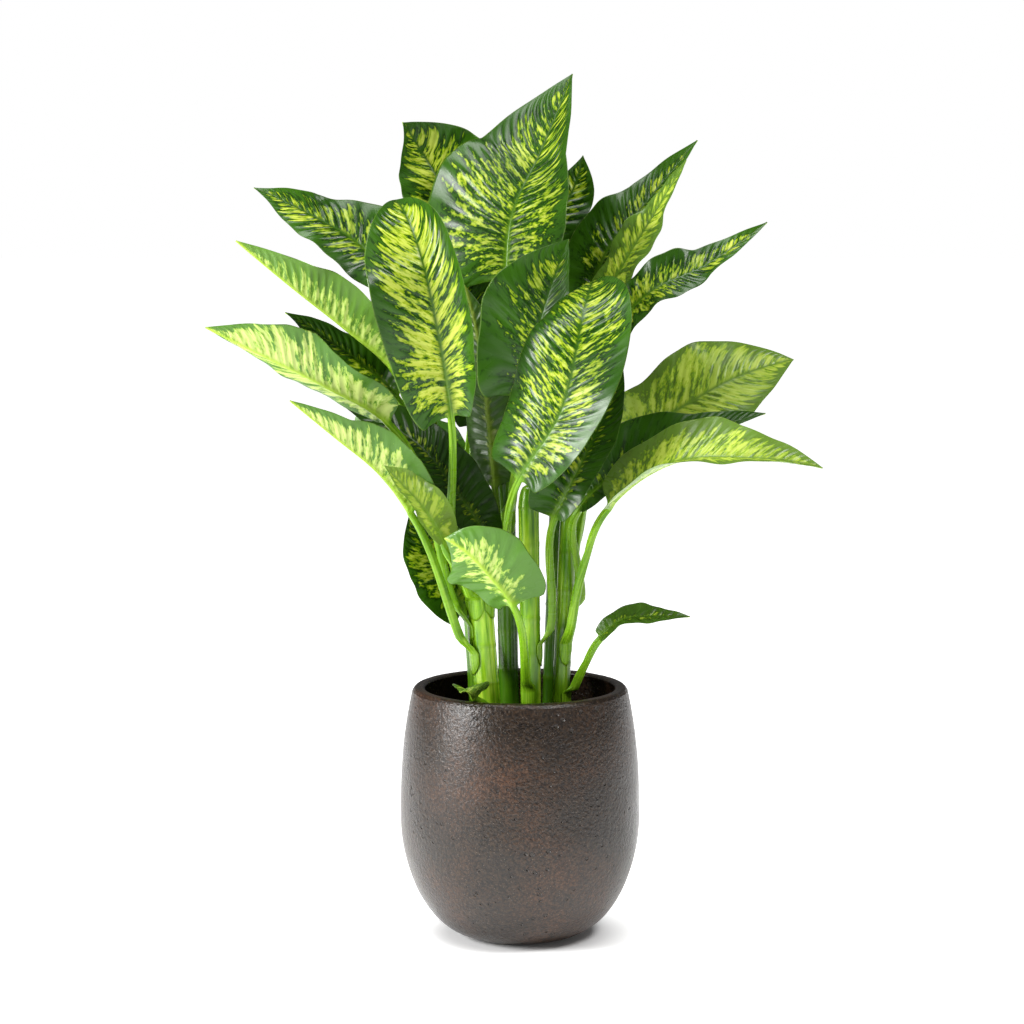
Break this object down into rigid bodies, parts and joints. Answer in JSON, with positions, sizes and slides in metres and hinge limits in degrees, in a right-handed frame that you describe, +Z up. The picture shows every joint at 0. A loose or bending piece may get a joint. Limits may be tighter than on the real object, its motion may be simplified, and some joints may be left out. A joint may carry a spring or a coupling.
{
  "type": "potted dieffenbachia",
  "caption": "Potted foliage plant: broad variegated leaves on long stalks clasping upright canes, growing from soil in a round-bellied clay pot with a flat rim; stands on its base.",
  "frame": {"origin": "centre of the flat underside of the pot", "axes": "+Z up; the side shown in the picture faces -Y; +X to that viewer's right"},
  "size_m": [0.7315, 0.5352, 1.0731],
  "materials": {
    "grey_brown_clay": "satin",
    "potting_soil": "matte",
    "cane_skin": "satin",
    "leaf_skin": "satin"
  },
  "bodies": {
    "root": {"pot": "grey_brown_clay", "soil": "potting_soil", "cane_front_left": "cane_skin", "cane_front_middle": "cane_skin", "cane_front_right": "cane_skin", "cane_back_middle": "cane_skin", "cane_back_right": "cane_skin", "cane_back_left": "cane_skin", "leaf_crown": "leaf_skin", "leaf_crown_left": "leaf_skin", "leaf_crown_small": "leaf_skin", "leaf_upper_left_dark": "leaf_skin", "leaf_upper_left_pale": "leaf_skin", "leaf_left_ribbed": "leaf_skin", "leaf_left_narrow": "leaf_skin", "leaf_left_low": "leaf_skin", "leaf_left_inner": "leaf_skin", "leaf_front_left": "leaf_skin", "leaf_front_right": "leaf_skin", "leaf_middle_back": "leaf_skin", "leaf_right_top_dark": "leaf_skin", "leaf_right_top_pale": "leaf_skin", "leaf_right_upper": "leaf_skin", "leaf_right_broad": "leaf_skin", "leaf_right_dark": "leaf_skin", "leaf_right_arching": "leaf_skin", "leaf_low_left": "leaf_skin", "leaf_low_centre": "leaf_skin", "leaf_low_right": "leaf_skin", "leaf_rim_sprout": "leaf_skin", "leaf_inner_left": "leaf_skin", "leaf_inner_large": "leaf_skin", "leaf_inner_right": "leaf_skin", "leaf_crown_inner": "leaf_skin", "leaf_back_high": "leaf_skin", "leaf_back_left": "leaf_skin", "leaf_back_right": "leaf_skin", "leaf_back_middle": "leaf_skin"}
  },
  "joints": []
}
